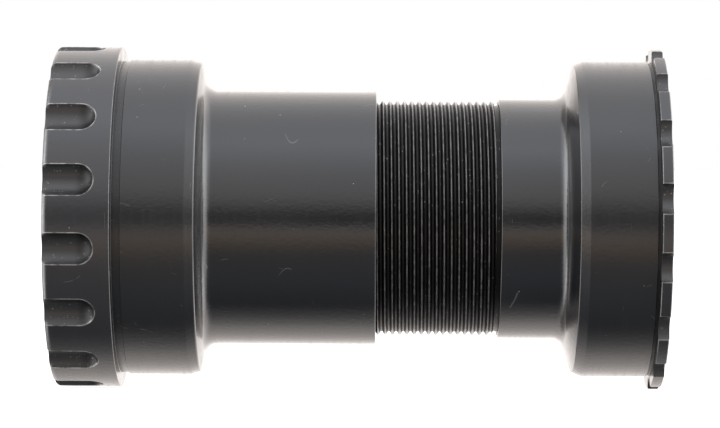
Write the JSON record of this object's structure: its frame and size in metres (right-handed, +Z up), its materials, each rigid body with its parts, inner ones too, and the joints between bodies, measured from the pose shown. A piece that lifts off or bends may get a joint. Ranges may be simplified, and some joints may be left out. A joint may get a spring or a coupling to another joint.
{
  "type": "bicycle bottom bracket",
  "caption": "Thread-together bottom bracket: two notched cups that screw together inside a frame shell and carry a crank spindle on cartridge bearings.",
  "frame": {"origin": "on the spindle axis, halfway between the two outboard faces", "axes": "+X along the spindle axis from the drive side to the non-drive side, +Z up, +Y away from the front view"},
  "size_m": [0.088, 0.0496, 0.0496],
  "materials": {
    "anodised_cup_drive": "satin black anodised, worn bright on its edges",
    "anodised_cup_non_drive": "satin black anodised, worn bright on its edges",
    "bearing_steel": "ground steel",
    "ball_steel": "polished steel",
    "cage_steel": "pressed steel",
    "bearing_seal_rubber": "moulded nitrile rubber",
    "bush_plastic": "moulded acetal",
    "lip_seal_rubber": "matte rubber",
    "o_ring_rubber": "greased nitrile rubber"
  },
  "bodies": {
    "drive_cup_unit": {"drive_side_cup": "anodised_cup_drive", "drive_bearing_outer_race": "bearing_steel", "drive_bearing_outboard_seal": "bearing_seal_rubber", "drive_bearing_inboard_seal": "bearing_seal_rubber", "drive_lip_seal": "lip_seal_rubber"},
    "sleeve_seal": {"sleeve_o_ring": "o_ring_rubber"},
    "non_drive_cup_unit": {"non_drive_side_cup": "anodised_cup_non_drive", "non_drive_bearing_outer_race": "bearing_steel", "non_drive_bearing_outboard_seal": "bearing_seal_rubber", "non_drive_bearing_inboard_seal": "bearing_seal_rubber", "non_drive_lip_seal": "lip_seal_rubber"},
    "drive_inner_ring": {"drive_bearing_inner_race": "bearing_steel", "drive_spindle_bush": "bush_plastic"},
    "drive_ball_set": {"drive_bearing_balls": "ball_steel", "drive_bearing_cage_outboard_half": "cage_steel", "drive_bearing_cage_inboard_half": "cage_steel"},
    "non_drive_inner_ring": {"non_drive_bearing_inner_race": "bearing_steel", "non_drive_spindle_bush": "bush_plastic"},
    "non_drive_ball_set": {"non_drive_bearing_balls": "ball_steel", "non_drive_bearing_cage_outboard_half": "cage_steel", "non_drive_bearing_cage_inboard_half": "cage_steel"}
  },
  "joints": [
    {"name": "sleeve_advance", "type": "slide", "parent": "drive_cup_unit", "child": "sleeve_seal", "axis": [1, 0, 0], "range_m": [-0.01693, 0.00529]},
    {"name": "sleeve_turn", "type": "hinge", "parent": "sleeve_seal", "child": "non_drive_cup_unit", "pos_m": [0, 0, 0], "axis": [1, 0, 0], "range_deg": [-5760, 1800]},
    {"name": "drive_spindle_spin", "type": "hinge", "parent": "drive_cup_unit", "child": "drive_inner_ring", "pos_m": [-0.039, 0, 0], "axis": [1, 0, 0], "continuous": true},
    {"name": "drive_ball_orbit", "type": "hinge", "parent": "drive_cup_unit", "child": "drive_ball_set", "pos_m": [-0.039, 0, 0], "axis": [1, 0, 0], "continuous": true},
    {"name": "non_drive_spindle_spin", "type": "hinge", "parent": "non_drive_cup_unit", "child": "non_drive_inner_ring", "pos_m": [0.039, 0, 0], "axis": [1, 0, 0], "continuous": true},
    {"name": "non_drive_ball_orbit", "type": "hinge", "parent": "non_drive_cup_unit", "child": "non_drive_ball_set", "pos_m": [0.039, 0, 0], "axis": [1, 0, 0], "continuous": true}
  ],
  "couplings": [
    {"joint": "sleeve_advance", "follows": "sleeve_turn", "m_per_rad": 0.00016844},
    {"joint": "drive_ball_orbit", "follows": "drive_spindle_spin", "ratio": 0.44355},
    {"joint": "non_drive_ball_orbit", "follows": "non_drive_spindle_spin", "ratio": 0.44355}
  ]
}
